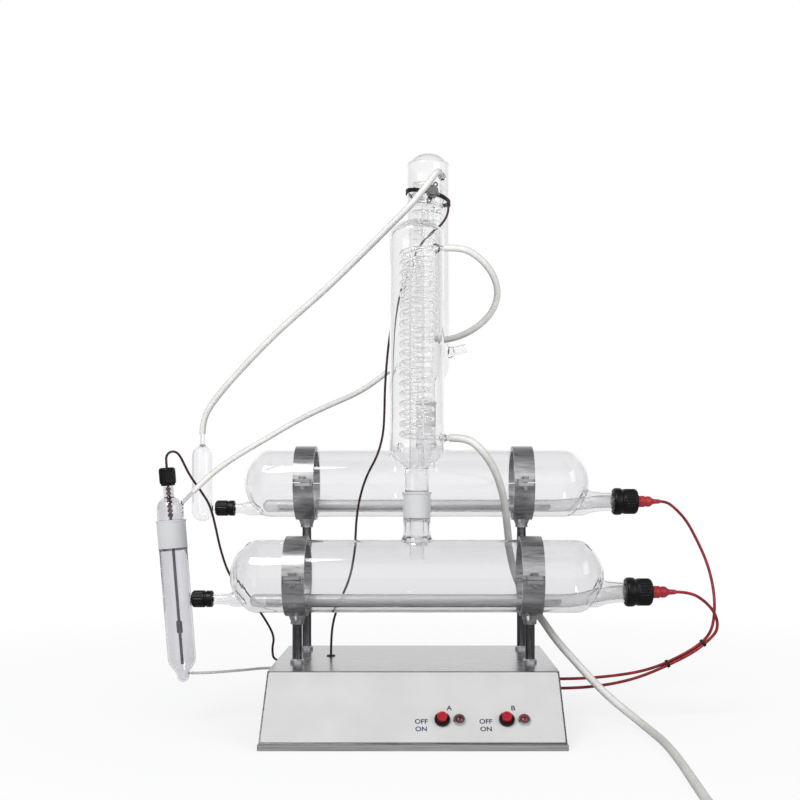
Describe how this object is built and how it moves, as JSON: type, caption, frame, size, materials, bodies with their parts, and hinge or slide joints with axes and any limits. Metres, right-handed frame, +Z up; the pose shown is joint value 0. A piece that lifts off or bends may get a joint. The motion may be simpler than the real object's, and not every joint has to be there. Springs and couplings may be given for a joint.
{
  "type": "glass water distiller",
  "caption": "Bench water distiller: stacked horizontal glass boilers in ring clamps on posts, coil condensers above, level vessels, hoses and a sloped control base.",
  "frame": {"origin": "centre of the base's underside, on the bench", "axes": "+Z up, +X to the right as seen from the control panel, -Y towards the control panel"},
  "size_m": [0.7168, 0.6903, 0.7488],
  "materials": {
    "tray": "satin",
    "housing_steel": "brushed along its width, satin",
    "panel_paint": "light grey face plate, semi-matt",
    "button_red": "red, gloss",
    "black_plastic": "black, moulded",
    "bezel_chrome": "bright",
    "lens_red": "red, translucent",
    "post_steel": "turned",
    "fastener_steel": "zinc plated",
    "clamp_metal": "rolled, satin",
    "clear_glass": "blown borosilicate, clear",
    "quartz": "fused quartz, clear",
    "element_metal": "wound resistance wire",
    "red_rubber": "red silicone, matt",
    "seal_rubber": "black, matt",
    "thermostat_metal": "pressed, satin",
    "hose_white": "milky white silicone",
    "hose_clear": "clear, pale",
    "lead_red": "red insulation",
    "lead_dark": "dark insulation",
    "tie_black": "black, smooth",
    "board_green": "circuit board",
    "standoff_brass": "turned"
  },
  "bodies": {
    "stand": {"base_tray": "tray", "base_housing": "housing_steel", "front_panel": "panel_paint", "button_bodies": "black_plastic", "lamp_bezels": "bezel_chrome", "lamp_lenses": "lens_red", "posts_front": "post_steel", "posts_rear": "post_steel", "post_collars": "post_steel", "post_nuts": "fastener_steel", "clamps_lower_front": "clamp_metal", "clamps_upper_front": "clamp_metal", "clamps_lower_rear": "clamp_metal", "clamps_upper_rear": "clamp_metal", "clamp_bolts": "fastener_steel", "clamp_nuts": "fastener_steel", "boiler_front": "clear_glass", "boiler_rear": "clear_glass", "condenser_jacket_front": "clear_glass", "condenser_jacket_rear": "clear_glass", "condenser_coils": "clear_glass", "heater_tubes": "quartz", "heater_elements": "element_metal", "lead_boots": "red_rubber", "level_tube": "clear_glass", "level_head": "clear_glass", "electrode_rod": "post_steel", "level_bulb": "clear_glass", "neck_seals": "seal_rubber", "thermostat": "thermostat_metal", "thermostat_strap": "black_plastic", "hose_overflow": "hose_white", "hose_distillate": "hose_white", "hose_link": "hose_white", "hose_supply": "hose_white", "hose_supply_coil": "hose_white", "hose_level": "hose_clear", "lead_heater_front": "lead_red", "lead_heater_rear": "lead_red", "lead_electrode": "lead_dark", "lead_thermostat": "lead_dark", "tie_wraps": "tie_black", "grommets": "seal_rubber", "cable_gland": "black_plastic", "control_board": "board_green", "board_standoffs": "standoff_brass"},
    "button_a": {"button_a": "button_red"},
    "button_b": {"button_b": "button_red"},
    "heater_cap_front": {"heater_cap_front": "black_plastic"},
    "heater_cap_rear": {"heater_cap_rear": "black_plastic"},
    "inlet_cap_front": {"inlet_cap_front": "black_plastic"},
    "inlet_cap_rear": {"inlet_cap_rear": "black_plastic"},
    "electrode_cap": {"electrode_cap": "black_plastic"}
  },
  "joints": [
    {"name": "button_a_press", "type": "slide", "parent": "stand", "child": "button_a", "axis": [0, 0.6995, -0.7146], "range_m": [0, 0.003], "stiffness_N_per_m": 300},
    {"name": "button_b_press", "type": "slide", "parent": "stand", "child": "button_b", "axis": [0, 0.6995, -0.7146], "range_m": [0, 0.003], "stiffness_N_per_m": 300},
    {"name": "heater_cap_front_turn", "type": "hinge", "parent": "stand", "child": "heater_cap_front", "pos_m": [0.264, -0.006, 0.1653], "axis": [1, 0, 0], "range_deg": [0, 540]},
    {"name": "heater_cap_rear_turn", "type": "hinge", "parent": "stand", "child": "heater_cap_rear", "pos_m": [0.269, 0.1047, 0.2775], "axis": [1, 0, 0], "range_deg": [0, 540]},
    {"name": "inlet_cap_front_turn", "type": "hinge", "parent": "stand", "child": "inlet_cap_front", "pos_m": [-0.277, -0.006, 0.1568], "axis": [-1, 0, 0], "range_deg": [0, 540]},
    {"name": "inlet_cap_rear_turn", "type": "hinge", "parent": "stand", "child": "inlet_cap_rear", "pos_m": [-0.269, 0.1047, 0.2685], "axis": [-1, 0, 0], "range_deg": [0, 540]},
    {"name": "electrode_cap_turn", "type": "hinge", "parent": "stand", "child": "electrode_cap", "pos_m": [-0.2873, -0.006, 0.053], "axis": [-0.0797, 0, 0.9968], "range_deg": [0, 540]}
  ]
}
